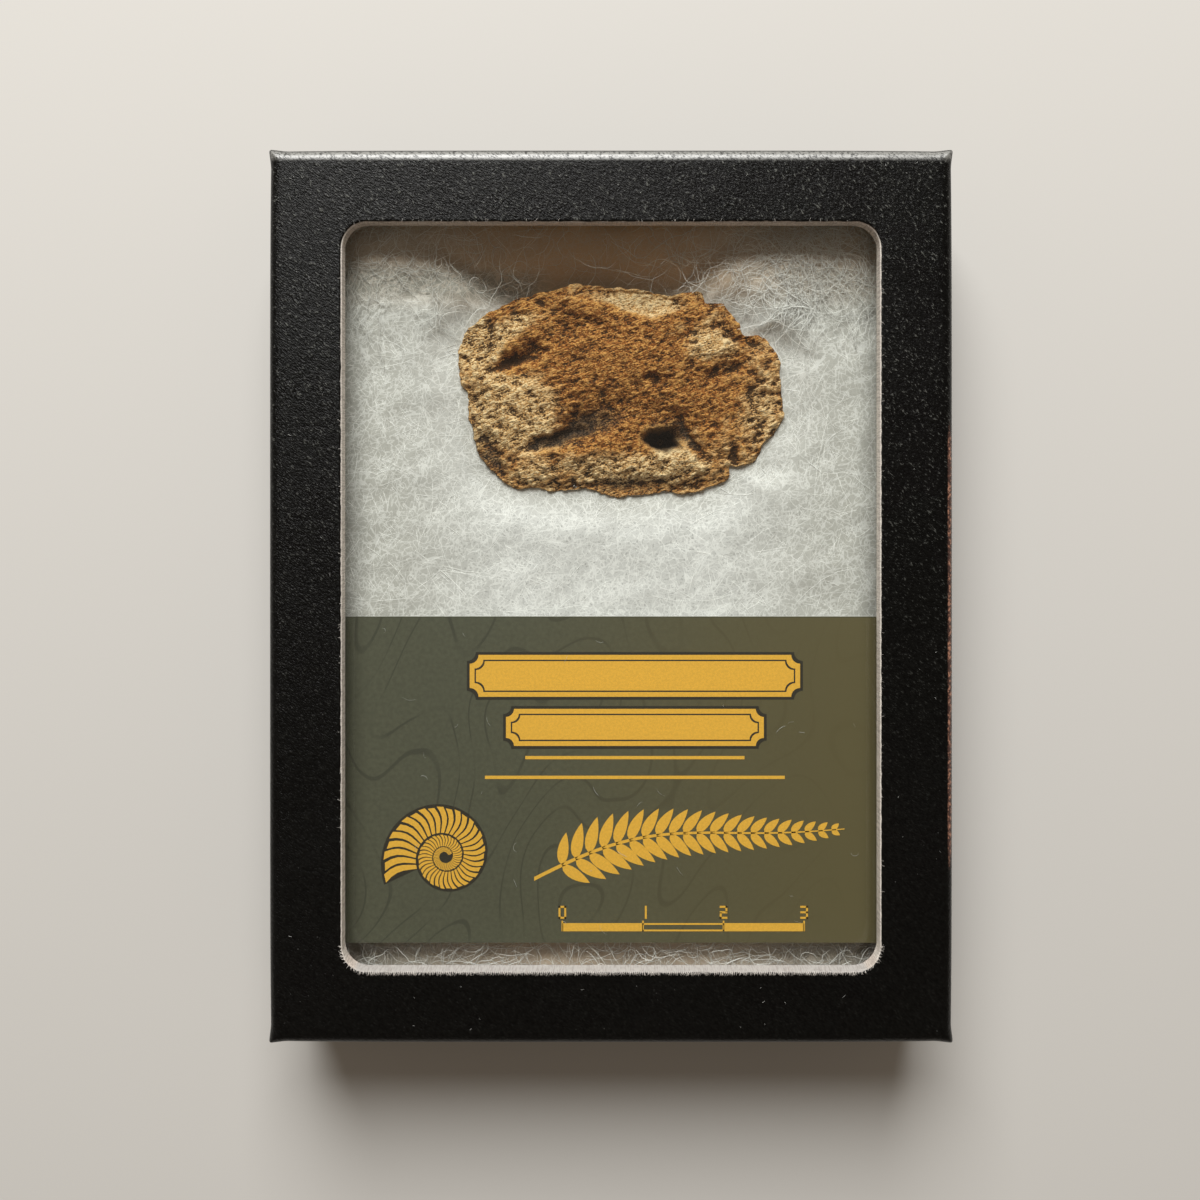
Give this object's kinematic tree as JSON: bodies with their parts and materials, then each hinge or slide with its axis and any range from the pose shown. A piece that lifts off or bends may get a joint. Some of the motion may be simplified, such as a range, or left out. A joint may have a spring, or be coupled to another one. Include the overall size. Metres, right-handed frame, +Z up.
{
  "type": "fossil riker mount box",
  "caption": "Shallow black paper-covered board box with a lift-off glazed lid, holding a fossil bone fragment and a printed card on white fibre fill.",
  "frame": {"origin": "middle of the tray's underside, on the surface that the box lies on", "axes": "+X to the right of someone reading the card, +Y towards the head of the window, +Z up, out through the glass"},
  "size_m": [0.0826, 0.108, 0.0191],
  "materials": {
    "black_leatherette": "embossed, dull satin",
    "greyboard": "raw matte",
    "stay_paper": "matte kraft",
    "white_paper": "matte",
    "clear_glass": "clear, polished",
    "polyester_fibre": "loose white fibre",
    "fossil_bone": "rough, porous",
    "printed_card": "matte print"
  },
  "bodies": {
    "tray": {"tray_board": "greyboard", "tray_corner_stay_foot_left": "stay_paper", "tray_corner_stay_foot_right": "stay_paper", "tray_corner_stay_head_right": "stay_paper", "tray_corner_stay_head_left": "stay_paper", "tray_wrap": "black_leatherette", "tray_lining": "white_paper", "fibre_fill": "polyester_fibre", "fossil_specimen": "fossil_bone", "label_card": "printed_card"},
    "lid": {"lid_board": "greyboard", "lid_corner_stay_foot_left": "stay_paper", "lid_corner_stay_foot_right": "stay_paper", "lid_corner_stay_head_right": "stay_paper", "lid_corner_stay_head_left": "stay_paper", "lid_wrap": "black_leatherette", "glass_pane": "clear_glass", "glass_strip_head": "greyboard", "glass_strip_foot": "greyboard", "glass_strip_left": "greyboard", "glass_strip_right": "greyboard"}
  },
  "joints": [
    {"name": "lid_lift", "type": "slide", "parent": "tray", "child": "lid", "axis": [0, 0, 1], "range_m": [0, 0.04]}
  ]
}
